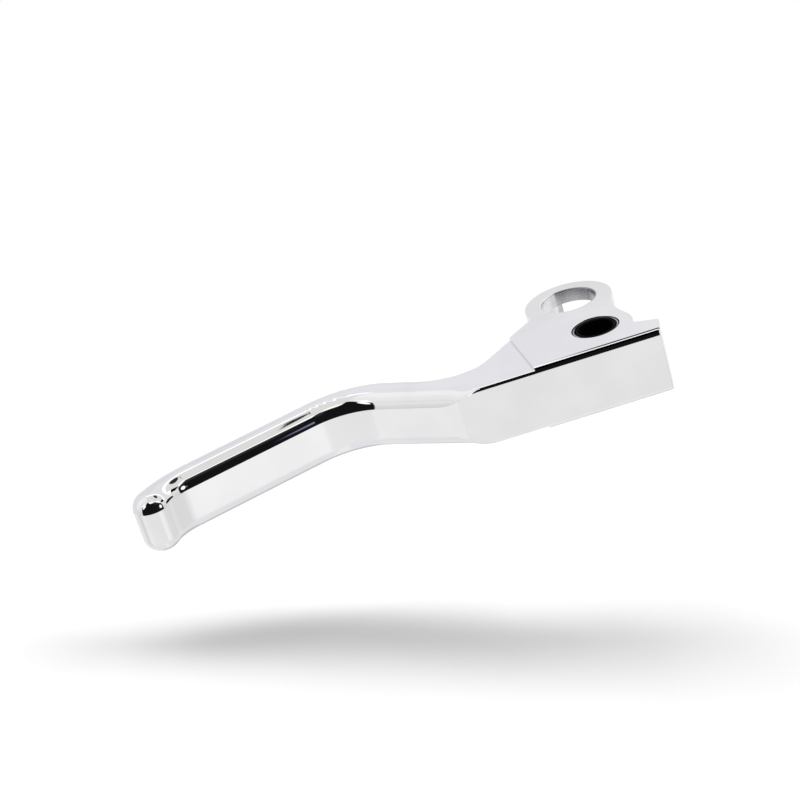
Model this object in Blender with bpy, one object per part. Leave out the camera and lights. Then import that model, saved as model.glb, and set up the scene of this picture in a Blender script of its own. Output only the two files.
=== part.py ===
import math

import bmesh
import bpy
from mathutils import Vector

# A clutch lever, in metres. The pivot axis is Z through the origin, at mid height.
# X runs inboard along the head, Y runs forward from the rider and Z is up.

# Heights and edge roundings
HEAD_HEIGHT = 0.0190
STEP_DEPTH = 0.0008
HEAD_EDGE = 0.0017
RING_EDGE = 0.0005
CREST_WIDTH = 0.0011

# Pivot bush, from the pin outwards
PIN_RADIUS = 0.0050
BUSH_WALL = 0.0008
SLEEVE_WALL = 0.0004
CLEARANCE = 0.0003
BUSH_RECESS = 0.0002
BORE_RIM = 0.0002

# Head in plan
SLAB_REACH = 0.0149
TAIL_REACH = 0.0149
TAIL_DEPTH = 0.0076
TAIL_LEAN = math.radians(12.2)
TAIL_SLOPE = math.radians(24.0)
TAIL_BLEND = 0.0015
BOSS_WALL = 0.00375
NOTCH_RADIUS = 0.0220
SHOULDER_REACH = 0.03374
SHOULDER_ANGLE = math.radians(45.6)
STEP_REACH = 0.02205
STEP_LEAN = math.radians(5.5)

# Eye for the cable's anchor pin, and the slot that lets the cable out
EYE_X = -0.00275
EYE_Y = 0.0243
EYE_RADIUS = 0.0080
EYE_WALL = 0.00485
EYE_RIM = 0.00035
EYE_BLEND = 0.0040
EAR_HEIGHT = 0.0040
SLOT_END = 0.0011
SLOT_REAR = 0.0060

# Blade in plan
KNEE_REACH = 0.0730
KNEE_SET = 0.00735
KNEE_REAR_RADIUS = 0.0190
KNEE_FRONT_RADIUS = 0.0270
NECK_ANGLE = math.radians(34.5)
NECK_WIDTH = 0.0111
FINGER_ANGLE = math.radians(22.2)
FINGER_WIDTH = 0.01007
FINGER_LENGTH = 0.0618
SLAB_CORNER = 0.0140
VALLEY_RADIUS = 0.0090
TIP_RADIUS = 0.00546
TIP_INSET = 0.0012
TIP_CURL = 0.0360
TIP_HOLLOW = 0.0112
EDGE_LEAD = 0.0036
EDGE_RUN = 0.0120
SPREAD_LEAD = 0.0052
SPREAD_RUN = 0.0090
CREASE_BLEND = 0.0003

# Fineness of the facets
ARC_STEP = math.radians(6.0)
LINE_STEP = 0.0040
EDGE_STEPS = 6
HOLE_STEPS = 64

BUSH_RADIUS = PIN_RADIUS + BUSH_WALL
SLEEVE_BORE = BUSH_RADIUS + CLEARANCE
SLEEVE_RADIUS = SLEEVE_BORE + SLEEVE_WALL
BORE_RADIUS = SLEEVE_RADIUS + CLEARANCE
BOSS_RADIUS = BORE_RADIUS + BOSS_WALL
RING_RADIUS = EYE_RADIUS + EYE_WALL
BLADE_HEIGHT = HEAD_HEIGHT - 2 * STEP_DEPTH
SHANK_EDGE = HEAD_EDGE - STEP_DEPTH
BLADE_EDGE = (FINGER_WIDTH - CREST_WIDTH) / 2
SLAB_END = -KNEE_REACH + (KNEE_SET + SLAB_REACH) / math.tan(NECK_ANGLE)

for thing in list(bpy.data.objects):
    bpy.data.objects.remove(thing, do_unlink=True)


def polar(angle):
    return Vector((math.cos(angle), math.sin(angle)))


def left_of(way):
    return Vector((-way.y, way.x))


def line(point, angle, **more):
    return dict(point=Vector(point), way=polar(angle), round=0, **more)


def disc(centre, radius, **more):
    return dict(point=Vector(centre), round=radius, **more)


def meeting(one, two, inset, pick):
    # Centre of the arc that touches both pieces of outline, inset to their left.
    first, second = one, two
    if first["round"] and not second["round"]:
        first, second = two, one
    if not first["round"]:
        start = first["point"] + inset * left_of(first["way"])
        if not second["round"]:
            other = second["point"] + inset * left_of(second["way"])
            span = first["way"].cross(second["way"])
            return start + first["way"] * ((other - start).cross(second["way"]) / span)
        foot = start + first["way"] * (second["point"] - start).dot(first["way"])
        reach = (second["round"] - inset) ** 2 - (foot - second["point"]).length_squared
        return foot + first["way"] * pick * math.sqrt(reach)
    gap = second["point"] - first["point"]
    near = first["round"] - inset
    far = second["round"] - inset
    along = (gap.length_squared + near ** 2 - far ** 2) / (2 * gap.length)
    across = math.sqrt(near ** 2 - along ** 2)
    return first["point"] + gap.normalized() * along + left_of(gap.normalized()) * pick * across


def touching(piece, centre, inset):
    if not piece["round"]:
        return piece["point"] + piece["way"] * (centre - piece["point"]).dot(piece["way"])
    side = 1 if piece["round"] > inset else -1
    return piece["point"] + (centre - piece["point"]).normalized() * side * piece["round"]


def arc_points(centre, start, end, turn):
    # Points with their inward directions, without the last one.
    first = math.atan2(start.y - centre.y, start.x - centre.x)
    last = math.atan2(end.y - centre.y, end.x - centre.x)
    sweep = (turn * (last - first)) % (2 * math.pi)
    radius = (start - centre).length
    count = max(2, math.ceil(sweep / ARC_STEP))
    angles = [first + turn * sweep * i / count for i in range(count)]
    return [(centre + radius * polar(a), -turn * polar(a)) for a in angles]


def swell(place):
    # How far the rounding has swollen along the neck: its spread inwards and its drop.
    found = []
    for lead, run in ((SPREAD_LEAD, SPREAD_RUN), (EDGE_LEAD, EDGE_RUN)):
        share = min(max((SLAB_END + lead - place.x) / run, 0), 1)
        found.append(share * share * (3 - 2 * share))
    return found


def line_points(start, end, way, stop):
    # Straight sides are divided only where the edge rounding changes along them.
    marks = [start, end]
    if stop is not None:
        marks.insert(1, stop)
    found = []
    for low, high in zip(marks, marks[1:]):
        shares = [swell(spot) for spot in (low, high)]
        changing = shares[0] != shares[1]
        count = max(1, round((high - low).length / LINE_STEP)) if changing else 1
        found += [(low.lerp(high, i / count), left_of(way)) for i in range(count)]
    return found


# The step between head and blade is a leaning plane that crosses both sides of the outline.
step_way = Vector((-math.sin(STEP_LEAN), math.cos(STEP_LEAN)))
step_foot = Vector((-STEP_REACH, 0))
shoulder_way = polar(math.pi + SHOULDER_ANGLE)
shoulder_foot = Vector((-SHOULDER_REACH, 0))
step_rear = step_foot - step_way * (SLAB_REACH / step_way.y)
reach_front = (shoulder_foot - step_foot).cross(shoulder_way) / step_way.cross(shoulder_way)
step_front = step_foot + step_way * reach_front

knee = Vector((-KNEE_REACH, KNEE_SET))
finger_way = polar(FINGER_ANGLE)
neck_way = polar(-NECK_ANGLE)
tip = knee - finger_way * FINGER_LENGTH + left_of(finger_way) * TIP_INSET
tail_turn = math.pi / 2 - TAIL_LEAN
tail_corner = Vector((TAIL_REACH + TAIL_DEPTH * math.tan(TAIL_LEAN), TAIL_DEPTH - SLAB_REACH))

# Outline of the lever, anticlockwise from the finger's rear side. Each piece ends in an
# arc to the next one: positive when convex, negative when concave, zero when sharp.
OUTLINE = [
    line(knee, FINGER_ANGLE, bend=-KNEE_REAR_RADIUS, pick=0, rear=True),
    line(knee, -NECK_ANGLE, bend=SLAB_CORNER, pick=0, rear=True),
    line((0, -SLAB_REACH), 0, bend=0, pick=0, rear=True, stop=step_rear),
    line((TAIL_REACH, -SLAB_REACH), tail_turn, bend=0, pick=0, rear=True, flat=True),
    line(tail_corner, math.pi - TAIL_SLOPE, bend=-TAIL_BLEND, pick=-1, rear=False),
    disc((0, 0), BOSS_RADIUS, bend=-NOTCH_RADIUS, pick=-1, rear=False),
    disc((EYE_X, EYE_Y), RING_RADIUS, bend=-EYE_BLEND, pick=1, rear=False),
    line(shoulder_foot, math.pi + SHOULDER_ANGLE, bend=-VALLEY_RADIUS, pick=0, rear=False,
         stop=step_front),
    line(knee + left_of(neck_way) * NECK_WIDTH, math.pi - NECK_ANGLE,
         bend=KNEE_FRONT_RADIUS, pick=0, rear=False),
    line(knee + left_of(finger_way) * FINGER_WIDTH, math.pi + FINGER_ANGLE,
         bend=TIP_CURL, pick=-1, rear=False),
    disc(tip, TIP_RADIUS, bend=-TIP_HOLLOW, pick=1, rear=False),
]


def edge_at(place, rear, head):
    # The rounding is small on the head and swells along the neck to nearly a full round.
    # Beside the slab's corner it spreads further than it drops, so it leaves a crease.
    if head:
        return [HEAD_EDGE if rear else RING_EDGE] * 2
    base = SHANK_EDGE if rear else RING_EDGE
    spread, drop = [base + (BLADE_EDGE - base) * share for share in swell(place)]
    return [max(spread, drop) if rear else drop, drop]


def outline_stations():
    # Each station has a place, an inward direction, its rounding's spread and drop, a height
    # and a mark for what follows it: a step in height, a flat end or a plain rounded side.
    count = len(OUTLINE)
    joins = []
    for i, piece in enumerate(OUTLINE):
        after = OUTLINE[(i + 1) % count]
        centre = meeting(piece, after, piece["bend"], piece["pick"])
        ends = [touching(side, centre, piece["bend"]) for side in (piece, after)]
        joins.append((ends[0], ends[1], centre))
    plain = []
    for i, piece in enumerate(OUTLINE):
        start = joins[i - 1][1]
        end, leave, centre = joins[i]
        if piece["round"]:
            found = arc_points(piece["point"], start, end, 1)
        else:
            found = line_points(start, end, piece["way"], piece.get("stop"))
        before = OUTLINE[i - 1]
        if piece.get("flat"):
            inward = piece["way"] / piece["way"].dot(left_of(before["way"]))
            plain.append((start, inward, True, "flat"))
            continue
        if before.get("flat"):
            inward = before["way"] / before["way"].dot(left_of(piece["way"]))
            found[0] = (start, inward)
        plain += [(place, inward, piece["rear"], "") for place, inward in found]
        if piece["bend"]:
            turn = 1 if piece["bend"] > 0 else -1
            found = arc_points(centre, end, leave, turn)
            plain += [(place, inward, piece["rear"], "") for place, inward in found]
    stations = []
    for place, inward, rear, mark in plain:
        head = (place - step_foot).cross(step_way) > 0
        if min((place - step_rear).length, (place - step_front).length) < 1e-7:
            along = step_way / step_way.dot(inward)
            low = (place, along, edge_at(place, rear, False), BLADE_HEIGHT)
            high = (place, along, edge_at(place, rear, True), HEAD_HEIGHT)
            first, second = (low, high) if rear else (high, low)
            stations += [(*first, "step"), (*second, "")]
        else:
            height = HEAD_HEIGHT if head else BLADE_HEIGHT
            spread, drop = edge_at(place, rear, head)
            share = min((spread - drop) / CREASE_BLEND, 1)
            if share > 0:
                inward = inward.lerp(left_of(neck_way), share).normalized()
            stations.append((place, inward, (spread, drop), height, mark))
    return stations


def add_object(name, mesh_maker, material):
    mesh = bpy.data.meshes.new(name)
    work = bmesh.new()
    mesh_maker(work)
    bmesh.ops.remove_doubles(work, verts=work.verts, dist=1e-7)
    bmesh.ops.recalc_face_normals(work, faces=work.faces)
    work.to_mesh(mesh)
    work.free()
    thing = bpy.data.objects.new(name, mesh)
    bpy.context.scene.collection.objects.link(thing)
    if material is not None:
        mesh.materials.append(material)
    return thing


def make_material(name, colour, roughness, metallic):
    material = bpy.data.materials.new(name)
    material.use_nodes = True
    shader = material.node_tree.nodes["Principled BSDF"]
    shader.inputs["Base Color"].default_value = (*colour, 1)
    shader.inputs["Roughness"].default_value = roughness
    shader.inputs["Metallic"].default_value = metallic
    material.diffuse_color = (*colour, 1)
    return material


def lever_mesh(work):
    stations = outline_stations()
    columns = []
    for place, inward, (spread, drop), height, mark in stations:
        column = {}
        start = 2 * math.atan2(spread, drop) - math.pi / 2
        radius = spread / math.cos(start)
        for side in (1, -1):
            rows = []
            for k in range(EDGE_STEPS + 1):
                angle = start + (math.pi / 2 - start) * k / EDGE_STEPS
                spot = place + inward * radius * (math.cos(start) - math.cos(angle))
                level = height / 2 - radius * (1 - math.sin(angle))
                rows.append(work.verts.new((spot.x, spot.y, side * level)))
            column[side] = rows
        columns.append(column)
    count = len(stations)
    pairs = [i for i in range(count) if stations[i][4] == "step"]
    wall_posts = {}
    for i in pairs:
        low, high = i, i + 1
        if stations[low][3] > stations[high][3]:
            low, high = high, low
        wall_posts[high] = [columns[low][1][0], columns[low][-1][0]]
    for i in range(count):
        if i in pairs:
            continue
        here, after = columns[i], columns[(i + 1) % count]
        if stations[i][4] == "flat":
            work.faces.new(here[-1][::-1] + here[1] + after[1][::-1] + after[-1])
            continue
        for side in (1, -1):
            for k in range(EDGE_STEPS):
                work.faces.new((here[side][k], after[side][k], after[side][k + 1], here[side][k + 1]))
        near_post = wall_posts.get(i, [])
        far_post = wall_posts.get((i + 1) % count, [])
        ring = [here[-1][0], after[-1][0], *far_post[::-1], after[1][0], here[1][0], *near_post]
        work.faces.new(ring)
    rear, front = pairs
    for side in (1, -1):
        tops = [column[side][-1] for column in columns]
        work.faces.new(tops[rear + 1:front + 1])
        work.faces.new(tops[front + 1:] + tops[:rear + 1])
        riser = columns[rear + 1][side] + columns[front][side][::-1]
        riser += columns[front + 1][side] + columns[rear][side][::-1]
        work.faces.new(riser)


def lathe(profile):
    # A closed ring or plug turned about Z from (radius, level) corners.
    def maker(work):
        rows = []
        for i in range(HOLE_STEPS):
            way = polar(2 * math.pi * i / HOLE_STEPS)
            rows.append([work.verts.new((way.x * r, way.y * r, z)) for r, z in profile])
        size = len(profile)
        for i in range(HOLE_STEPS):
            here, after = rows[i], rows[(i + 1) % HOLE_STEPS]
            for k in range(size):
                corners = (here[k], after[k], after[(k + 1) % size], here[(k + 1) % size])
                work.faces.new(corners)
    return maker


def drill(radius, rim):
    # A round cutter that also breaks both rims of its hole.
    def maker(work):
        half = HEAD_HEIGHT / 2
        over = rim + 0.001
        profile = [(radius + over, half - rim + over), (radius, half - rim),
                   (radius, rim - half), (radius + over, rim - half - over)]
        rows = []
        for i in range(HOLE_STEPS):
            way = polar(2 * math.pi * i / HOLE_STEPS)
            rows.append([work.verts.new((way.x * r, way.y * r, z)) for r, z in profile])
        for i in range(HOLE_STEPS):
            here, after = rows[i], rows[(i + 1) % HOLE_STEPS]
            for k in range(len(profile) - 1):
                work.faces.new((here[k], after[k], after[k + 1], here[k + 1]))
        work.faces.new([row[0] for row in rows])
        work.faces.new([row[-1] for row in rows])
    return maker


def prism(corners, low, high):
    def maker(work):
        base = [work.verts.new((*spot, low)) for spot in corners]
        top = [work.verts.new((*spot, high)) for spot in corners]
        work.faces.new(base)
        work.faces.new(top)
        for i in range(len(corners)):
            j = (i + 1) % len(corners)
            work.faces.new((base[i], base[j], top[j], top[i]))
    return maker


def cut(target, name, maker, place=(0, 0, 0)):
    cutter = add_object(name, maker, None)
    cutter.location = place
    cutter.hide_render = True
    cutter.display_type = "WIRE"
    change = target.modifiers.new(name, "BOOLEAN")
    change.operation = "DIFFERENCE"
    change.solver = "EXACT"
    change.object = cutter


chrome = make_material("chrome", (0.80, 0.81, 0.83), 0.05, 1.0)
steel = make_material("sleeve_steel", (0.36, 0.36, 0.37), 0.35, 1.0)
polymer = make_material("black_polymer", (0.012, 0.012, 0.014), 0.45, 0.0)

lever_body = add_object("lever_body", lever_mesh, chrome)
cut(lever_body, "pivot_drill", drill(BORE_RADIUS, BORE_RIM))
cut(lever_body, "eye_drill", drill(EYE_RADIUS, EYE_RIM), (EYE_X, EYE_Y, 0))

# The slot opens the ring forwards and inboard between an upper and a lower ear.
slot_left = EYE_X - SLOT_END
slot_rear = EYE_Y - SLOT_REAR
slot_out = 2 * RING_RADIUS
slot_half = HEAD_HEIGHT / 2 - EAR_HEIGHT
slot_plan = [(slot_left, slot_rear), (EYE_X + slot_out, slot_rear),
             (EYE_X + slot_out, EYE_Y + slot_out), (slot_left, EYE_Y + slot_out)]
cut(lever_body, "slot_cutter", prism(slot_plan, -slot_half, slot_half))

bush_half = HEAD_HEIGHT / 2 - BUSH_RECESS
ends = (-bush_half, bush_half)
sleeve_profile = [(SLEEVE_RADIUS, ends[0]), (SLEEVE_RADIUS, ends[1]),
                  (SLEEVE_BORE, ends[1]), (SLEEVE_BORE, ends[0])]
bush_profile = [(BUSH_RADIUS, ends[0]), (BUSH_RADIUS, ends[1]),
                (PIN_RADIUS, ends[1]), (PIN_RADIUS, ends[0])]
bush_sleeve = add_object("bush_sleeve", lathe(sleeve_profile), steel)
pivot_bush = add_object("pivot_bush", lathe(bush_profile), polymer)
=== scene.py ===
import math

import bmesh
import bpy
from mathutils import Matrix, Vector


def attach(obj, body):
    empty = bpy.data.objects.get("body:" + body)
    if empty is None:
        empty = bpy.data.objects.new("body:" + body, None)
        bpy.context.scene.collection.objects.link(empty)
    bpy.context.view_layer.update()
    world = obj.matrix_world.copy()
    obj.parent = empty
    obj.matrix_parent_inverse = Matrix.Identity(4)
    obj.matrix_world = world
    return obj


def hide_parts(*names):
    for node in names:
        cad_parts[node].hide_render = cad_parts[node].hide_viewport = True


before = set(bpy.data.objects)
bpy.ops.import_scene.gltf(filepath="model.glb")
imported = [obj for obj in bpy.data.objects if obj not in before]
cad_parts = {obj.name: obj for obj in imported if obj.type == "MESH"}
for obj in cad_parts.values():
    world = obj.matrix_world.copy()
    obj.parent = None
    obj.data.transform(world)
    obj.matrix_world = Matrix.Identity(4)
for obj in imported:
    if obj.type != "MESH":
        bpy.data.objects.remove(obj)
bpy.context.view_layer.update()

scene = bpy.context.scene
scene.view_settings.view_transform = "Standard"
print("frame loaded:", ", ".join(sorted(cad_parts)))


# camera at the photograph's viewing angle
shot = {
    "elevation": 23.9,
    "roll": 17.09,
    "turn": 0.55,
    "focalPixels": 2000.0,
    "imagePixels": 800.0,
    "aimPixel": (595.19, 326.59),  # where the top of the pivot axis lands
    "aim": (0.0, 0.0, 0.0095),
    "reach": 0.55556,
    "sensorWidth": 36.0,
    "clipStart": 0.01,
}


def placeCamera(shot):
    tilt = math.radians(shot["elevation"])
    roll = math.radians(shot["roll"])
    ahead = Vector((0, math.cos(tilt), -math.sin(tilt)))
    level = Vector((1, 0, 0))
    above = Vector((0, math.sin(tilt), math.cos(tilt)))
    right = math.cos(roll) * level - math.sin(roll) * above
    up = math.sin(roll) * level + math.cos(roll) * above
    middle = shot["imagePixels"] / 2
    across = (shot["aimPixel"][0] - middle) / shot["focalPixels"]
    down = (shot["aimPixel"][1] - middle) / shot["focalPixels"]
    spin = Matrix.Rotation(-math.radians(shot["turn"]), 3, "Z")
    right, up, ahead = spin @ right, spin @ up, spin @ ahead
    eye = Vector(shot["aim"]) - (across * right - down * up + ahead) * shot["reach"]
    lens = bpy.data.cameras.new("camera")
    lens.sensor_width = shot["sensorWidth"]
    lens.lens = shot["sensorWidth"] * shot["focalPixels"] / shot["imagePixels"]
    lens.clip_start = shot["clipStart"]
    camera = bpy.data.objects.new("camera", lens)
    turned = Matrix((right, up, -ahead)).transposed().to_4x4()
    camera.matrix_world = Matrix.Translation(eye) @ turned
    scene.collection.objects.link(camera)
    scene.camera = camera


placeCamera(shot)
print("camera placed")


# one wire is one socket; arithmetic on wires adds Math nodes
class Wire:
    def __init__(self, tree, socket=None):
        self.tree = tree
        self.socket = socket

    def node(self, kind, settings=None, sockets=None, out=0):
        made = self.tree.nodes.new(kind)
        for key, value in (settings or {}).items():
            if key == "stops":
                ramp = made.color_ramp
                while len(ramp.elements) < len(value):
                    ramp.elements.new(1.0)
                for element, (place, colour) in zip(ramp.elements, value):
                    element.position = place
                    element.color = colour
            else:
                setattr(made, key, value)
        for key, value in (sockets or {}).items():
            if isinstance(value, Wire):
                self.tree.links.new(value.socket, made.inputs[key])
            else:
                made.inputs[key].default_value = value
        return Wire(self.tree, made.outputs[out] if made.outputs else None)

    def maths(self, operation, first, second=0.0):
        return self.node("ShaderNodeMath", {"operation": operation}, {0: first, 1: second})

    def vectors(self, operation, first, second=(0, 0, 0), out=0):
        settings = {"operation": operation}
        return self.node("ShaderNodeVectorMath", settings, {0: first, 1: second}, out)

    def __add__(self, other):
        return self.maths("ADD", self, other)

    def __radd__(self, other):
        return self.maths("ADD", other, self)

    def __sub__(self, other):
        return self.maths("SUBTRACT", self, other)

    def __rsub__(self, other):
        return self.maths("SUBTRACT", other, self)

    def __mul__(self, other):
        return self.maths("MULTIPLY", self, other)

    def __rmul__(self, other):
        return self.maths("MULTIPLY", other, self)

    def __truediv__(self, other):
        return self.maths("DIVIDE", self, other)

    def __rtruediv__(self, other):
        return self.maths("DIVIDE", other, self)

    def split(self):  # the three parts of a vector
        ports = self.node("ShaderNodeSeparateXYZ", {}, {"Vector": self}).socket.node.outputs
        return [Wire(self.tree, port) for port in ports]

    def noise(self, scale, detail):
        sockets = {"Vector": self, "Scale": scale, "Detail": detail}
        return self.node("ShaderNodeTexNoise", {}, sockets)

    def ease(self, low, high):  # 0 below low, 1 above high
        settings = {"interpolation_type": "SMOOTHSTEP"}
        sockets = {"Value": self, "From Min": low, "From Max": high, "To Min": 0.0, "To Max": 1.0}
        return self.node("ShaderNodeMapRange", settings, sockets)

    def band(self, low, high, soft):  # 1 between low and high
        return self.ease(low - soft, low + soft) * (1 - self.ease(high - soft, high + soft))

    def tint(self, share, first, second):  # colours go through Mix
        sockets = {0: share, 6: first, 7: second}
        return self.node("ShaderNodeMix", {"data_type": "RGBA"}, sockets, 2)


def newMaterial(name):
    material = bpy.data.materials.new(name)
    material.use_nodes = True
    material.node_tree.nodes.clear()
    return material, Wire(material.node_tree)


def finishMaterial(material, wire, sockets):
    shader = wire.node("ShaderNodeBsdfPrincipled", {}, sockets)
    wire.node("ShaderNodeOutputMaterial", {}, {"Surface": shader})
    material.diffuse_color = (0.7, 0.7, 0.72, 1)  # for the viewport
    return material


# bright plate over polished metal: long waves left by the polishing wheel and fine haze
# a pair of numbers is where something starts and ends
chromeLook = {
    "bright": (0.843, 0.842, 0.843, 1),
    "dull": (0.809, 0.808, 0.810, 1),
    "patchScale": 60.0,
    "patchEdge": (0.35, 0.65),
    "roughLow": 0.02,
    "roughHigh": 0.035,
    "hazeScale": 900.0,
    "hazeEdge": (0.3, 0.8),
    "waveScale": 95.0,
    "waveDepth": 0.00001,
    # painted dark reflection line along the upper edge of the slab
    "paintedLineDark": (0.04, 0.04, 0.042, 1),
    "lineSpan": (-0.01385, -0.01325),
    "lineSoft": 0.00003,
    "lineRise": (0.0091, 0.0092),
    "lineRun": (-0.022, 0.002),
    # the bored wall of the eye is less polished; its colour has painted shade, darker toward the
    # top and at the right, and a painted pale reflection toward the left
    "eye": (-0.00275, 0.0243, 0.0),
    "boredReach": (0.0083, 0.0085),
    "boredRise": (0.0051, 0.0055),
    "boredShadeDark": (0.33, 0.33, 0.35, 1),
    "boredShadeMid": (0.66, 0.66, 0.68, 1),
    "boredShadeFade": (0.0055, 0.0095),
    "boredPaintedPale": (0.93, 0.93, 0.94, 1),
    "boredPaintedPaleEnd": (-0.0059, -0.0049),
    "boredRough": 0.25,
    # slanted cutter marks on the rounding by the knee
    "markWay": (0.548, 1.304, 0.0),
    "markPitch": 0.0019,
    "markDepth": 1.7,
    "markRun": (-0.0835, -0.0712),
    "markSoft": 0.002,
    "markLow": (0.0081, 0.0083),
    "markTop": (0.00866, 0.00869),
}


def makeChrome(look):
    material, wire = newMaterial("leverChrome")
    place = wire.node("ShaderNodeTexCoord", out="Object")
    x, y, z = place.split()
    patch = place.noise(look["patchScale"], detail=2.0)
    haze = place.noise(look["hazeScale"], detail=4.0)
    wave = place.noise(look["waveScale"], detail=1.0)
    colour = wire.tint(patch.ease(*look["patchEdge"]), look["dull"], look["bright"])
    roughRange = look["roughHigh"] - look["roughLow"]
    rough = look["roughLow"] + roughRange * haze.ease(*look["hazeEdge"])

    # painted dark reflection line along the upper edge of the slab
    line = y.band(*look["lineSpan"], look["lineSoft"])
    line = line * z.ease(*look["lineRise"]) * x.ease(*look["lineRun"])
    colour = wire.tint(line, colour, look["paintedLineDark"])

    fromEye = wire.vectors("SUBTRACT", place, look["eye"])
    distance = wire.vectors("LENGTH", wire.vectors("MULTIPLY", fromEye, (1, 1, 0)), out=1)
    bored = (1 - distance.ease(*look["boredReach"])) * z.ease(*look["boredRise"])
    # painted shade on the bored wall: darker toward the top and at the right, pale toward the left
    wall = wire.tint(z.ease(*look["boredShadeFade"]), look["boredShadeMid"], look["boredShadeDark"])
    wall = wire.tint(x.ease(*look["boredPaintedPaleEnd"]), look["boredPaintedPale"], wall)
    colour = wire.tint(bored, colour, wall)
    rough = rough + bored * (look["boredRough"] - rough)

    along = wire.vectors("DOT_PRODUCT", place, look["markWay"], out=1)
    mark = wire.maths("SINE", along * (2 * math.pi / look["markPitch"]))
    marked = z.ease(*look["markLow"]) * (1 - z.ease(*look["markTop"]))
    marked = marked * x.band(*look["markRun"], look["markSoft"])
    waves = wave + mark * marked * look["markDepth"]
    bump = {"Strength": 1.0, "Distance": look["waveDepth"], "Height": waves}
    relief = wire.node("ShaderNodeBump", {}, bump)
    sockets = {"Base Color": colour, "Metallic": 1.0, "Roughness": rough, "Normal": relief}
    return finishMaterial(material, wire, sockets)


# turned steel: fine rings about the pivot axis, with painted light and shade: the colour is dark
# across the middle and pale on the two sides, where the rings would face the side light
sleeveLook = {
    "pale": (0.50, 0.50, 0.51, 1),
    "dark": (0.05, 0.05, 0.055, 1),
    "radius": 0.0063,
    "highlightEdge": (0.78, 0.98),  # shares of the radius
    "highlightBase": 0.35,
    "ringsPerMetre": 9000.0,
    "ringShare": 0.15,
    "ringRelief": 0.3,
    "ringDepth": 0.00001,
    "grainScale": 1500.0,
    "roughLow": 0.28,
    "roughGrain": 0.2,
}


def makeSleeveSteel(look):
    material, wire = newMaterial("sleeveSteel")
    place = wire.node("ShaderNodeTexCoord", out="Object")
    radius = wire.vectors("LENGTH", wire.vectors("MULTIPLY", place, (1, 1, 0)), out=1)
    rings = wire.maths("SINE", radius * look["ringsPerMetre"])
    grain = place.noise(look["grainScale"], detail=3.0)
    # painted highlight and shade: the sleeve's colour is pale on its two sides and dark between
    # them
    sideways = wire.maths("ABSOLUTE", place.split()[0]) / look["radius"]
    share = rings * look["ringShare"] + grain + look["highlightBase"]
    share = sideways.ease(*look["highlightEdge"]) * share
    colour = wire.tint(share, look["dark"], look["pale"])
    rough = look["roughLow"] + look["roughGrain"] * grain
    bump = {"Strength": look["ringRelief"], "Distance": look["ringDepth"], "Height": rings}
    relief = wire.node("ShaderNodeBump", {}, bump)
    sockets = {"Base Color": colour, "Metallic": 1.0, "Roughness": rough, "Normal": relief}
    return finishMaterial(material, wire, sockets)


# black low-friction polymer with a fine moulded grain
bushLook = {
    "black": (0.003, 0.003, 0.0035, 1),
    "grey": (0.008, 0.008, 0.009, 1),
    "cloudScale": 300.0,
    "cloudEdge": (0.35, 0.7),
    "grainScale": 2600.0,
    "grainRelief": 0.25,
    "grainDepth": 0.00002,
    "roughLow": 0.6,
    "roughGrain": 0.2,
    "gloss": 0.03,
}


def makeBushPolymer(look):
    material, wire = newMaterial("bushPolymer")
    place = wire.node("ShaderNodeTexCoord", out="Object")
    grain = place.noise(look["grainScale"], detail=3.0)
    cloud = place.noise(look["cloudScale"], detail=2.0)
    colour = wire.tint(cloud.ease(*look["cloudEdge"]), look["black"], look["grey"])
    rough = look["roughLow"] + look["roughGrain"] * grain
    bump = {"Strength": look["grainRelief"], "Distance": look["grainDepth"], "Height": grain}
    relief = wire.node("ShaderNodeBump", {}, bump)
    sockets = {"Base Color": colour, "Roughness": rough, "Normal": relief}
    sockets["Specular IOR Level"] = look["gloss"]
    return finishMaterial(material, wire, sockets)


chrome = makeChrome(chromeLook)
sleeveSteel = makeSleeveSteel(sleeveLook)
bushPolymer = makeBushPolymer(bushLook)
print("materials made")


# the lever, in metres and degrees; rear is the rider's side, front the side of the eye
lever = {
    "headHeight": 0.0190,
    "stepDepth": 0.0008,
    "headEdge": 0.0017,
    "ringEdge": 0.0005,
    "crestWidth": 0.0011,
    "boreRadius": 0.0068,
    "boreRim": 0.0002,
    "slabReach": 0.0149,
    "tailReach": 0.0149,
    "tailDepth": 0.0076,
    "tailLean": 12.2,
    "tailSlope": 24.0,
    "tailBlend": 0.0015,
    "tailBreak": 0.00025,
    "bossRadius": 0.01055,
    "notchRadius": 0.0220,
    "shoulderReach": 0.03374,
    "shoulderAngle": 45.6,
    "stepReach": 0.02205,
    "stepLean": 5.5,
    "eye": (-0.00275, 0.0243),
    "eyeRadius": 0.0080,
    "eyeRim": 0.00035,
    "eyeBlend": 0.0040,
    "ringRadius": 0.01285,
    "earHeight": 0.0040,
    "slotEnd": 0.0011,
    "slotRear": 0.0060,
    "knee": (-0.0730, 0.00735),
    "kneeRear": 0.0190,
    "kneeFront": 0.0270,
    "neckAngle": 34.5,
    "neckWidth": 0.0111,
    "fingerAngle": 22.2,
    "fingerWidth": 0.01007,
    "fingerLength": 0.0618,
    "slabCorner": 0.0140,
    "valley": 0.0090,
    "tipRadius": 0.00546,
    "tipInset": 0.0012,
    "tipCurl": 0.0360,
    "tipHollow": 0.0112,
    "edgeLead": 0.0036,
    "edgeRun": 0.0120,
    "spreadLead": 0.0052,
    "spreadRun": 0.0090,
    "creaseBlend": 0.0003,
    "arcStep": 2.0,
    "lineStep": 0.0008,
    "edgeSteps": 16,
    "holeSteps": 144,
    "smoothAngle": 24,
    "samePlace": 1e-7,
    "weldReach": 1e-8,
}


def polar(angle):
    return Vector((math.cos(angle), math.sin(angle)))


def leftOf(way):
    return Vector((-way.y, way.x))


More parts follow.
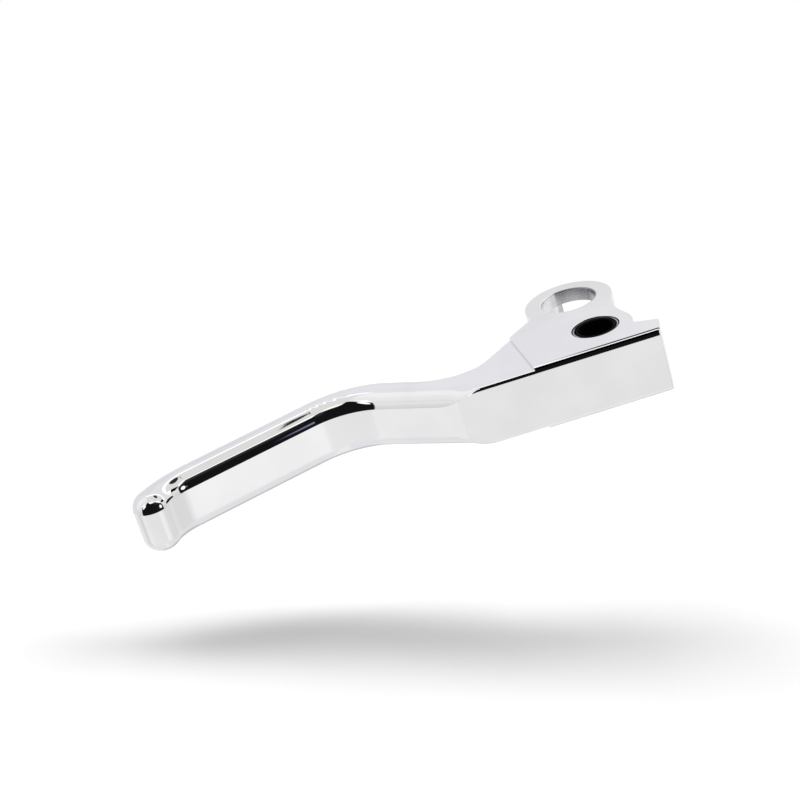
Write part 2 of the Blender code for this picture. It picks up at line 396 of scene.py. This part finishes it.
def side(point, degrees, bend, pick=0, rear=False, stop=None, flat=False):
    return {"at": Vector(point), "way": polar(math.radians(degrees)), "round": 0, "bend": bend,
            "pick": pick, "rear": rear, "stop": stop, "flat": flat}


def disc(centre, radius, bend, pick):
    return {"at": Vector(centre), "round": radius, "bend": bend, "pick": pick, "rear": False,
            "stop": None, "flat": False}


def arcCentre(one, two):  # centre of the arc that joins two pieces of the outline
    inset, pick = one["bend"], one["pick"]
    if one["round"] and not two["round"]:
        one, two = two, one
    if not one["round"]:
        start = one["at"] + inset * leftOf(one["way"])
        if not two["round"]:
            other = two["at"] + inset * leftOf(two["way"])
            along = (other - start).cross(two["way"]) / one["way"].cross(two["way"])
            return start + one["way"] * along
        foot = start + one["way"] * (two["at"] - start).dot(one["way"])
        reach = (two["round"] - inset) ** 2 - (foot - two["at"]).length_squared
        return foot + one["way"] * pick * math.sqrt(reach)
    gap = two["at"] - one["at"]
    near, far = one["round"] - inset, two["round"] - inset
    along = (gap.length_squared + near ** 2 - far ** 2) / (2 * gap.length)
    across = math.sqrt(near ** 2 - along ** 2)
    return one["at"] + gap.normalized() * along + leftOf(gap.normalized()) * pick * across


def touchPoint(piece, centre, inset):
    if not piece["round"]:
        return piece["at"] + piece["way"] * (centre - piece["at"]).dot(piece["way"])
    sign = 1 if piece["round"] > inset else -1
    return piece["at"] + (centre - piece["at"]).normalized() * sign * piece["round"]


def arcPoints(centre, start, end, turn, step):
    first = math.atan2(start.y - centre.y, start.x - centre.x)
    last = math.atan2(end.y - centre.y, end.x - centre.x)
    sweep = (turn * (last - first)) % (2 * math.pi)
    count = max(3, math.ceil(sweep / math.radians(step)))
    angles = [first + turn * sweep * i / count for i in range(count)]
    radius = (start - centre).length
    return [(centre + radius * polar(a), -turn * polar(a)) for a in angles]


class LeverPlan:
    def __init__(self, s):
        self.s = s
        self.bladeHeight = s["headHeight"] - 2 * s["stepDepth"]
        self.bladeEdge = (s["fingerWidth"] - s["crestWidth"]) / 2
        knee = Vector(s["knee"])
        self.slabEnd = knee.x + (knee.y + s["slabReach"]) / math.tan(math.radians(s["neckAngle"]))
        lean = math.radians(s["stepLean"])
        self.stepWay = Vector((-math.sin(lean), math.cos(lean)))
        self.stepFoot = Vector((-s["stepReach"], 0))
        shoulderFoot = Vector((-s["shoulderReach"], 0))
        shoulderWay = polar(math.radians(180 + s["shoulderAngle"]))
        self.stepRear = self.stepFoot - self.stepWay * (s["slabReach"] / self.stepWay.y)
        reach = (shoulderFoot - self.stepFoot).cross(shoulderWay) / self.stepWay.cross(shoulderWay)
        self.stepFront = self.stepFoot + self.stepWay * reach
        finger = polar(math.radians(s["fingerAngle"]))
        neck = polar(math.radians(-s["neckAngle"]))
        self.neckInward = leftOf(neck)
        neckFront = knee + leftOf(neck) * s["neckWidth"]
        fingerFront = knee + leftOf(finger) * s["fingerWidth"]
        tip = knee - finger * s["fingerLength"] + leftOf(finger) * s["tipInset"]
        tailX = s["tailReach"] - s["tailBreak"]  # the end face is drawn out by the edge break
        slope = math.tan(math.radians(s["tailLean"]))
        corner = (s["tailReach"] + s["tailDepth"] * slope, s["tailDepth"] - s["slabReach"])
        self.outline = [
            side(knee, s["fingerAngle"], -s["kneeRear"], rear=True),
            side(knee, -s["neckAngle"], s["slabCorner"], rear=True),
            side((0, -s["slabReach"]), 0, 0, rear=True, stop=self.stepRear),
            side((tailX, -s["slabReach"]), 90 - s["tailLean"], 0, rear=True, flat=True),
            side(corner, 180 - s["tailSlope"], -s["tailBlend"], pick=-1),
            disc((0, 0), s["bossRadius"], -s["notchRadius"], -1),
            disc(s["eye"], s["ringRadius"], -s["eyeBlend"], 1),
            side(shoulderFoot, 180 + s["shoulderAngle"], -s["valley"], stop=self.stepFront),
            side(neckFront, 180 - s["neckAngle"], s["kneeFront"]),
            side(fingerFront, 180 + s["fingerAngle"], s["tipCurl"], pick=-1),
            disc(tip, s["tipRadius"], -s["tipHollow"], 1),
        ]

    def swell(self, place):  # growth of the rounding along the neck: its spread and its drop
        s = self.s
        found = []
        for lead, run in ((s["spreadLead"], s["spreadRun"]), (s["edgeLead"], s["edgeRun"])):
            share = min(max((self.slabEnd + lead - place.x) / run, 0), 1)
            found.append(share * share * (3 - 2 * share))
        return found

    def edge(self, place, rear, head):  # by the slab's corner it spreads more than it drops
        s = self.s
        if head:
            return [s["headEdge"] if rear else s["ringEdge"]] * 2
        base = s["headEdge"] - s["stepDepth"] if rear else s["ringEdge"]
        spread, drop = [base + (self.bladeEdge - base) * share for share in self.swell(place)]
        return [max(spread, drop) if rear else drop, drop]

    def sidePoints(self, piece, start, end):
        marks = [start, piece["stop"], end] if piece["stop"] is not None else [start, end]
        found = []
        for low, high in zip(marks, marks[1:]):
            changing = self.swell(low) != self.swell(high)
            count = max(1, round((high - low).length / self.s["lineStep"])) if changing else 1
            found += [(low.lerp(high, i / count), leftOf(piece["way"])) for i in range(count)]
        return found

    def stations(self):  # place, inward way, edge rounding, height and a mark for what follows
        s = self.s
        outline = self.outline
        joins = []
        for i, piece in enumerate(outline):
            after = outline[(i + 1) % len(outline)]
            centre = arcCentre(piece, after)
            joins.append((touchPoint(piece, centre, piece["bend"]),
                          touchPoint(after, centre, piece["bend"]), centre))
        plain = []
        for i, piece in enumerate(outline):
            start = joins[i - 1][1]
            end, leave, centre = joins[i]
            before = outline[i - 1]
            if piece["flat"]:
                along = piece["way"] / piece["way"].dot(leftOf(before["way"]))
                plain.append((start, along, True, "flat"))
                continue
            if piece["round"]:
                found = arcPoints(piece["at"], start, end, 1, s["arcStep"])
            else:
                found = self.sidePoints(piece, start, end)
            if before["flat"]:
                found[0] = (start, before["way"] / before["way"].dot(leftOf(piece["way"])))
            if piece["bend"]:
                found += arcPoints(centre, end, leave, 1 if piece["bend"] > 0 else -1, s["arcStep"])
            plain += [(place, inward, piece["rear"], "") for place, inward in found]
        ready = []
        for place, inward, rear, mark in plain:
            head = (place - self.stepFoot).cross(self.stepWay) > 0
            fromStep = min((place - self.stepRear).length, (place - self.stepFront).length)
            if fromStep < s["samePlace"]:
                along = self.stepWay / self.stepWay.dot(inward)
                low = (place, along, self.edge(place, rear, False), self.bladeHeight)
                high = (place, along, self.edge(place, rear, True), s["headHeight"])
                first, second = (low, high) if rear else (high, low)
                ready += [(*first, "step"), (*second, "")]
            else:
                height = s["headHeight"] if head else self.bladeHeight
                spread, drop = self.edge(place, rear, head)
                share = min((spread - drop) / s["creaseBlend"], 1)
                if share > 0:  # the rounding keeps to the neck's direction until it runs out
                    inward = inward.lerp(self.neckInward, share).normalized()
                ready.append((place, inward, (spread, drop), height, mark))
        return ready


def leverBlank(work, s):
    stations = LeverPlan(s).stations()
    steps = s["edgeSteps"]
    columns = []
    for place, inward, (spread, drop), height, mark in stations:
        column = {}
        start = 2 * math.atan2(spread, drop) - math.pi / 2
        radius = spread / math.cos(start)
        for face in (1, -1):
            row = []
            for k in range(steps + 1):
                angle = start + (math.pi / 2 - start) * k / steps
                spot = place + inward * radius * (math.cos(start) - math.cos(angle))
                level = height / 2 - radius * (1 - math.sin(angle))
                row.append(work.verts.new((spot.x, spot.y, face * level)))
            column[face] = row
        columns.append(column)
    count = len(stations)
    pairs = [i for i in range(count) if stations[i][4] == "step"]
    posts = {}
    for i in pairs:
        low, high = (i, i + 1) if stations[i][3] < stations[i + 1][3] else (i + 1, i)
        posts[high] = [columns[low][1][0], columns[low][-1][0]]
    for i in range(count):
        here, after = columns[i], columns[(i + 1) % count]
        if i in pairs:
            continue
        if stations[i][4] == "flat":
            end = work.faces.new(here[-1][::-1] + here[1] + after[1][::-1] + after[-1])
            continue
        for face in (1, -1):
            one, two = here[face], after[face]
            for k in range(steps):
                work.faces.new((one[k], two[k], two[k + 1], one[k + 1]))
        wall = [here[-1][0], after[-1][0], *posts.get((i + 1) % count, [])[::-1]]
        work.faces.new(wall + [after[1][0], here[1][0], *posts.get(i, [])])
    rear, front = pairs
    for face in (1, -1):
        tops = [column[face][-1] for column in columns]
        work.faces.new(tops[rear + 1:front + 1])
        work.faces.new(tops[front + 1:] + tops[:rear + 1])
        riser = columns[rear + 1][face] + columns[front][face][::-1]
        work.faces.new(riser + columns[front + 1][face] + columns[rear][face][::-1])
    bmesh.ops.remove_doubles(work, verts=work.verts, dist=s["weldReach"])
    bmesh.ops.recalc_face_normals(work, faces=work.faces)
    bmesh.ops.inset_individual(work, faces=[end], thickness=s["tailBreak"], depth=s["tailBreak"])


def drillBit(work, radius, rim, half, steps, centre):  # also rounds both rims of its hole
    rimSteps = 6
    overrun = 0.002  # stands out past both faces
    profile = [(radius + rim, half + overrun)]
    for k in range(rimSteps + 1):
        a = math.pi / 2 * k / rimSteps
        profile.append((radius + rim - rim * math.sin(a), half - rim + rim * math.cos(a)))
    profile += [(r, -z) for r, z in reversed(profile)]
    rows = []
    for i in range(steps):
        way = polar(2 * math.pi * (i + 0.5) / steps)
        ring = [(centre[0] + way.x * r, centre[1] + way.y * r, z) for r, z in profile]
        rows.append([work.verts.new(spot) for spot in ring])
    for i in range(steps):
        here, after = rows[i], rows[(i + 1) % steps]
        for k in range(len(profile) - 1):
            work.faces.new((here[k], after[k], after[k + 1], here[k + 1]))
    work.faces.new([row[0] for row in rows])
    work.faces.new([row[-1] for row in rows])
    bmesh.ops.recalc_face_normals(work, faces=work.faces)


def slotBlock(work, s):
    left, rear = s["eye"][0] - s["slotEnd"], s["eye"][1] - s["slotRear"]
    right, front = s["eye"][0] + 2 * s["ringRadius"], s["eye"][1] + 2 * s["ringRadius"]
    half = s["headHeight"] / 2 - s["earHeight"]
    made = bmesh.ops.create_cube(work, size=1)["verts"]
    for vert in made:
        vert.co.x = right if vert.co.x > 0 else left
        vert.co.y = front if vert.co.y > 0 else rear
        vert.co.z = half if vert.co.z > 0 else -half


def meshObject(name, fill, *more):
    mesh = bpy.data.meshes.new(name)
    work = bmesh.new()
    fill(work, *more)
    work.to_mesh(mesh)
    work.free()
    made = bpy.data.objects.new(name, mesh)
    scene.collection.objects.link(made)
    return made


def cutAway(target, cutter):
    change = target.modifiers.new("cut", "BOOLEAN")
    change.operation = "DIFFERENCE"
    change.solver = "EXACT"
    change.object = cutter
    graph = bpy.context.evaluated_depsgraph_get()
    result = bpy.data.meshes.new_from_object(target.evaluated_get(graph))
    target.modifiers.clear()
    old = target.data
    target.data = result
    bpy.data.meshes.remove(old)
    spare = cutter.data
    bpy.data.objects.remove(cutter)
    bpy.data.meshes.remove(spare)


def polishNormals(mesh, limit):
    # flats keep their own normal, walls stay upright and roundings run into both
    flatLift, wallLift, noArea = 0.99999, 0.002, 1e-15
    work = bmesh.new()
    work.from_mesh(mesh)
    work.faces.ensure_lookup_table()
    work.normal_update()
    kind = []
    for face in work.faces:
        lift = abs(face.normal.z)
        kind.append("flat" if lift > flatLift else "wall" if lift < wallLift else "round")
    least = math.cos(math.radians(limit))
    normals = [Vector((0, 0, 1))] * len(mesh.loops)
    for face in work.faces:
        own = face.normal
        for loop in face.loops:
            near = [f for f in loop.vert.link_faces if f.normal.dot(own) > least]
            wanted = kind[face.index]
            if wanted == "round":
                found = {kind[f.index] for f in near}
                wanted = "flat" if "flat" in found else "wall" if "wall" in found else "round"
            total = Vector((0, 0, 0))
            for f in near:
                if kind[f.index] == wanted:
                    total += f.normal * f.calc_area()
            if kind[face.index] == "flat" or total.length < noArea:
                total = own
            normals[loop.index] = total.normalized()
    work.free()
    mesh.shade_smooth()
    mesh.normals_split_custom_set(normals)


def makeLever(s):
    body = meshObject("chromeLever", leverBlank, s)
    half = s["headHeight"] / 2
    for name, radius, rim, centre in (
        ("boreBit", s["boreRadius"], s["boreRim"], (0, 0)),
        ("eyeBit", s["eyeRadius"], s["eyeRim"], s["eye"]),
    ):
        cutAway(body, meshObject(name, drillBit, radius, rim, half, s["holeSteps"], centre))
    cutAway(body, meshObject("slotBit", slotBlock, s))
    polishNormals(body.data, s["smoothAngle"])
    body.data.materials.clear()
    body.data.materials.append(chrome)
    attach(body, "lever")
    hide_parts("lever_body")
    return body


leverPiece = makeLever(lever)
print("lever made:", len(leverPiece.data.polygons), "faces")


# pivot bush: a steel sleeve pressed in the lever and a black liner on the pin
bushing = {
    "half": 0.0093,
    "sleeveOuter": 0.0065,
    "sleeveInner": 0.0061,
    "sleeveBreak": 0.0001,
    "linerOuter": 0.0058,
    "linerInner": 0.0050,
    "linerBreak": 0.00025,
    "steps": 128,
    "smoothAngle": 24,
}


def turnedRing(work, outer, inner, half, chamfer, steps):
    profile = [(outer, half - chamfer), (outer - chamfer, half)]
    profile += [(inner + chamfer, half), (inner, half - chamfer)]
    profile += [(r, -z) for r, z in reversed(profile)]
    rows = []
    for i in range(steps):
        way = polar(2 * math.pi * i / steps)
        rows.append([work.verts.new((way.x * r, way.y * r, z)) for r, z in profile])
    size = len(profile)
    for i in range(steps):
        here, after = rows[i], rows[(i + 1) % steps]
        for k in range(size):
            work.faces.new((here[k], after[k], after[(k + 1) % size], here[(k + 1) % size]))
    bmesh.ops.recalc_face_normals(work, faces=work.faces)


def makeBushing(b):
    sleeve = meshObject("steelSleeve", turnedRing, b["sleeveOuter"], b["sleeveInner"], b["half"],
                        b["sleeveBreak"], b["steps"])
    liner = meshObject("blackLiner", turnedRing, b["linerOuter"], b["linerInner"], b["half"],
                       b["linerBreak"], b["steps"])
    for piece, material, body, node, slot in (
        (sleeve, sleeveSteel, "lever", "bush_sleeve", "sleeve_steel"),
        (liner, bushPolymer, "bush", "pivot_bush", "black_polymer"),
    ):
        polishNormals(piece.data, b["smoothAngle"])
        piece.data.materials.append(material)
        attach(piece, body)
        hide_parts(node)


makeBushing(bushing)
print("bush made")


# studio: a white floor under a row of soft lamps, and a room that only the metal sees
# places overhead are on a ceiling one metre up, bearings and heights are in degrees
studio = {
    "floorDrop": 0.0545,
    "floorRadius": 0.34,
    "floorCentre": (-0.062, 0.006, 0.0),
    "floorTilt": 13.9,
    "floorSides": 96,
    "fill": 0.04,
    "sunPower": 0.957,
    "sunAngle": 39.0,
    "sunLean": 0.575,
    # sideways slope and share of each lamp in the soft row above and behind
    "sunRow": ((-1.12, 0.84), (-0.66, 0.88), (-0.20, 0.90), (0.26, 0.97), (0.69, 0.80)),
    "leastRise": 0.02,  # keeps places overhead within bounds near the horizon
    # wall behind the part, paler to the right
    "farStart": (-0.15, 0.15),
    "farWall": (0.911, 0.901, 0.946, 1),
    "farRight": (0.913, 0.907, 0.947, 1),
    "farRightStart": (0.1, 0.2),
    "farLeft": (0.835, 0.826, 0.868, 1),
    "farLeftEnd": (-0.17, -0.03),
    "farLeftStart": (1.2, 1.7),
    "farBack": (0.862, 0.855, 0.876, 1),
    "farBackStart": (2.31, 2.40),
    # height, then brightness of the side walls there
    "sideTone": (
        (-30, 0.74), (-17, 0.75), (-12, 0.79), (2, 0.845), (7, 0.88), (13, 0.925),
        (19, 0.925), (23, 0.86), (29, 0.92), (38, 0.955), (46, 0.97), (90, 1.0),
    ),
    # pale panel overhead, with a lit far edge and a bright gap in front of it
    "aboveStart": (0.05, 0.12),
    "panel": (0.86, 0.86, 0.85, 1),
    "panelSpan": (-0.445, 0.53),
    "panelSoft": 0.02,
    "panelLeft": (1.04, 1.04, 1.035, 1),
    "panelLeftEnd": (-0.32, -0.18),
    "panelNear": (0.96, 0.96, 0.955, 1),
    "panelNearEnd": (-0.2, 0.2),
    "lampEdge": (1.35, 1.35, 1.35, 1),
    "lampEdgeSpan": (0.48, 0.70),
    "lampEdgeSoft": 0.04,
    "gapLight": (1.25, 1.25, 1.22, 1),
    "gapSpan": (-0.96, -0.445),
    "gapSoft": 0.03,
    # faint frame along the panel's front
    "frameFaint": (0.68, 0.68, 0.68, 1),
    "frameSpan": (-0.48, -0.41),
    "frameSoft": 0.012,
    "frameRun": (0.25, 0.6),
    "frameRunSoft": 0.03,
    # dark streak in the panel, along the finger in its reflection, and a dark oval shade
    "frameDark": (0.03, 0.03, 0.03, 1),
    "streakWay": 0.436,
    "streakPlace": (0.3495, 0.045),
    "streakHalf": (0.0085, 0.20),
    "streakLean": 5.5,
    "streakRim": (0.9, 1.1),
    "shadePlace": (0.46, 0.21),
    "shadeTurn": (0.66, 0.75),
    "shadeHalf": (0.28, 0.14),
    "shadeRim": (0.8, 1.2),
    # dark room in front, a little lighter by its upper right edge
    "frontEnd": (-0.03, 0.0),
    "dark": (0.008, 0.008, 0.009, 1),
    "darkSpan": (-62.0, 66.0),
    "darkSoft": 1.5,
    # bearing, then how far the dark reaches up to overhead (1 is straight up)
    "darkTop": (
        (-70, 0.07), (-50, 0.20), (-38, 0.62), (-33, 0.68), (-22, 0.55), (-12, 0.38), (-3, 0.30),
        (10, 0.30), (22, 0.33), (30, 0.38), (36, 0.42), (43, 0.40), (48, 0.30), (62, 0.10),
    ),
    "darkTopEdge": (-0.03, 0.03),
    "darkEdge": (0.045, 0.045, 0.047, 1),
    "darkEdgeDepth": (0.0, 0.9),
    "darkEdgeStart": (20.0, 30.0),
    # bearing, height, half width, half height, colour
    "glint": (41.2, 6.0, 2.0, 9.0, (0.24, 0.26, 0.42, 1)),
    "glintRim": (0.0, 1.0),
    # bearing, height, half width, half height, lean, colour
    "lamps": (
        (52.0, 8.0, 7.0, 11.0, 0.0, (1.4, 1.4, 1.4, 1)),
        (-48.5, 33.0, 9.0, 8.0, 1.2, (1.4, 1.38, 1.36, 1)),
    ),
    "lampRim": (0.7, 1.2),
    # bearing, then brightness of the ground there
    "groundTone": (
        (-180, 0.93), (-112, 0.93), (-97, 0.79), (-84, 0.81), (-74, 0.97), (-60, 0.99),
        (-55, 0.94), (-20, 0.93), (12, 0.928), (24, 0.94), (33, 1.05), (43, 1.05),
        (64, 0.86), (100, 0.84), (130, 0.93), (180, 0.93),
    ),
    "groundTop": (-21.0, -18.0),
    "groundBelow": (0.91, 0.90, 0.935, 1),
    "groundBelowEnd": (-58.0, -29.0),
    "groundNear": (0.98, 0.98, 0.985, 1),
    "groundNearSpan": (-0.03, 0.22),
    "groundNearEnd": (-55.0, -30.0),
    "groundFar": (0.64, 0.64, 0.65, 1),
    "groundFarStart": (0.1, 0.4),
    "groundFarSpan": (-0.2, 0.42),
    "groundFarEnd": (-45.0, -32.0),
    "groundSoft": 0.04,
}


def makeWorld(t):
    world = bpy.data.worlds.new("studio")
    world.use_nodes = True
    tree = world.node_tree
    tree.nodes.clear()
    scene.world = world
    wire = Wire(tree)
    x, y, z = wire.node("ShaderNodeTexCoord", out="Generated").split()
    rise = wire.maths("MAXIMUM", z, t["leastRise"])
    reach = y / rise  # place overhead, far side positive
    across = x / rise
    bearing = wire.maths("ARCTAN2", x, 0 - y) * math.degrees(1)
    height = wire.maths("ARCSINE", z) * math.degrees(1)

    def follow(value, half, stops):  # a grey that follows a value running from -half to half
        grey = [((place + half) / (2 * half), (tone, tone, tone, 1)) for place, tone in stops]
        share = (value + half) / (2 * half)
        return wire.node("ShaderNodeValToRGB", {"stops": grey}, {"Fac": share})

    def oval(over, wide, up, tall):  # 0 at the middle of an oval, 1 at its rim
        over, up = over / wide, up / tall
        return over * over + up * up

    far = wire.tint(across.ease(*t["farRightStart"]), t["farWall"], t["farRight"])
    isLeft = (1 - across.ease(*t["farLeftEnd"])) * reach.ease(*t["farLeftStart"])
    far = wire.tint(isLeft, far, t["farLeft"])
    far = wire.tint(reach.ease(*t["farBackStart"]), far, t["farBack"])
    walls = follow(height, 90, t["sideTone"])
    colour = wire.tint(y.ease(*t["farStart"]), walls, far)

    above = z.ease(*t["aboveStart"])
    left = 1 - across.ease(*t["panelLeftEnd"])
    panelLeft = wire.tint(reach.ease(*t["panelNearEnd"]), t["panelNear"], t["panelLeft"])
    panel = wire.tint(left, t["panel"], panelLeft)
    isPanel = reach.band(*t["panelSpan"], t["panelSoft"]) * above
    colour = wire.tint(isPanel, colour, panel)
    edge = reach.band(*t["lampEdgeSpan"], t["lampEdgeSoft"]) * above * (1 - left)
    colour = wire.tint(edge, colour, t["lampEdge"])
    front = bearing.band(*t["darkSpan"], t["darkSoft"]) * (1 - y.ease(*t["frontEnd"]))
    gap = reach.band(*t["gapSpan"], t["gapSoft"]) * above * front
    colour = wire.tint(gap, colour, t["gapLight"])
    line = reach.band(*t["frameSpan"], t["frameSoft"]) * above
    line = line * across.band(*t["frameRun"], t["frameRunSoft"])
    colour = wire.tint(line, colour, t["frameFaint"])

    (place, middle), (wide, tall) = t["streakPlace"], t["streakHalf"]
    over = across + reach * t["streakWay"] - place
    streak = oval(over, wide, reach - over * t["streakLean"] - middle, tall)
    colour = wire.tint(streak.ease(*t["streakRim"]), t["frameDark"], colour)
    (place, middle), (wide, tall) = t["shadePlace"], t["shadeHalf"]
    over, up = across - place, reach - middle
    cos, sin = t["shadeTurn"]
    shade = oval(over * cos - up * sin, wide, over * sin + up * cos, tall)
    isShade = (1 - shade.ease(*t["shadeRim"])) * above
    colour = wire.tint(isShade, colour, t["frameDark"])

    top = follow(bearing, 180, t["darkTop"]) - 1
    isDark = (1 - (reach - top).ease(*t["darkTopEdge"])) * front
    nearEdge = (1 - (top - reach).ease(*t["darkEdgeDepth"])) * bearing.ease(*t["darkEdgeStart"])
    dark = wire.tint(nearEdge, t["dark"], t["darkEdge"])
    b, h, wide, tall, tone = t["glint"]
    glint = oval(bearing - b, wide, height - h, tall)
    dark = wire.tint(glint.ease(*t["glintRim"]), tone, dark)
    colour = wire.tint(isDark, colour, dark)
    for b, h, wide, tall, lean, tone in t["lamps"]:
        over = bearing - b
        spot = oval(over, wide, height - over * lean - h, tall)
        colour = wire.tint(spot.ease(*t["lampRim"]), tone, colour)

    ground = follow(bearing, 180, t["groundTone"])
    ground = wire.tint(height.ease(*t["groundBelowEnd"]), t["groundBelow"], ground)
    near = x.band(*t["groundNearSpan"], t["groundSoft"]) * (1 - height.ease(*t["groundNearEnd"]))
    ground = wire.tint(near, ground, t["groundNear"])
    behind = x.band(*t["groundFarSpan"], t["groundSoft"]) * (1 - height.ease(*t["groundFarEnd"]))
    ground = wire.tint(y.ease(*t["groundFarStart"]) * behind, ground, t["groundFar"])
    colour = wire.tint(height.ease(*t["groundTop"]), ground, colour)

    seen = wire.node("ShaderNodeLightPath").socket.node.outputs
    grey = (t["fill"], t["fill"], t["fill"], 1)
    colour = wire.tint(Wire(tree, seen["Is Glossy Ray"]), grey, colour)
    colour = wire.tint(Wire(tree, seen["Is Camera Ray"]), colour, (1, 1, 1, 1))
    back = wire.node("ShaderNodeBackground", {}, {"Color": colour, "Strength": 1.0})
    wire.node("ShaderNodeOutputWorld", {}, {"Surface": back})


def makeFloor(t):
    tilt = math.radians(t["floorTilt"])
    turn = scene.camera.matrix_world.to_3x3()
    up = turn @ Vector((0, math.cos(tilt), math.sin(tilt)))
    right = turn @ Vector((1, 0, 0))
    near = turn @ Vector((0, -math.sin(tilt), math.cos(tilt)))
    turned = Vector((0, 0, 1)).rotation_difference(up)
    centre = Vector(t["floorCentre"]) - up * t["floorDrop"]

    def fill(work):
        sides, radius = t["floorSides"], t["floorRadius"]
        bmesh.ops.create_circle(work, cap_ends=True, segments=sides, radius=radius)
        bmesh.ops.rotate(work, cent=(0, 0, 0), matrix=turned.to_matrix(), verts=work.verts)
        bmesh.ops.translate(work, vec=centre, verts=work.verts)

    floor = meshObject("floor", fill)
    material, wire = newMaterial("paleFloor")
    matte = wire.node("ShaderNodeBsdfDiffuse", {}, {"Color": (1, 1, 1, 1)})
    clear = wire.node("ShaderNodeBsdfTransparent")
    under = wire.node("ShaderNodeNewGeometry", out="Backfacing")  # open from below
    surface = wire.node("ShaderNodeMixShader", {}, {0: under, 1: matte, 2: clear})
    wire.node("ShaderNodeOutputMaterial", {}, {"Surface": surface})
    floor.data.materials.append(material)
    floor.visible_glossy = False

    for slope, part in t["sunRow"]:
        light = bpy.data.lights.new("softSun", "SUN")
        light.energy = t["sunPower"] * part
        light.angle = math.radians(t["sunAngle"])
        lamp = bpy.data.objects.new("softSun", light)
        lamp.rotation_mode = "QUATERNION"
        toLight = up - right * slope - near * t["sunLean"]
        lamp.rotation_quaternion = Vector((0, 0, 1)).rotation_difference(toLight)
        lamp.visible_glossy = False
        scene.collection.objects.link(lamp)


# cards over the head, seen only in the metal: a black flag and a strip lamp
cards = {
    "height": 0.0595,
    "left": -0.042,
    "right": 0.034,
    "flag": (-0.054, -0.0115),
    "lamp": (-0.0115, 0.0070),
    "lampGlow": 1.35,
}


def makeCards(c):
    left, right = c["left"], c["right"]

    def fill(work):
        for near, far in (c["flag"], c["lamp"]):
            shape = ((left, near), (right, near), (right, far), (left, far))
            work.faces.new([work.verts.new((x, y, c["height"])) for x, y in shape])

    piece = meshObject("cards", fill)
    for name, glow in (("flagBlack", 0.0), ("stripLamp", c["lampGlow"])):
        material, wire = newMaterial(name)
        shader = wire.node("ShaderNodeEmission", {}, {"Color": (1, 1, 1, 1), "Strength": glow})
        wire.node("ShaderNodeOutputMaterial", {}, {"Surface": shader})
        piece.data.materials.append(material)
    for face in piece.data.polygons:
        face.material_index = face.index
    piece.visible_camera = False
    piece.visible_diffuse = False
    piece.visible_shadow = False
    piece.visible_transmission = False


makeWorld(studio)
makeFloor(studio)
makeCards(cards)
print("studio made")
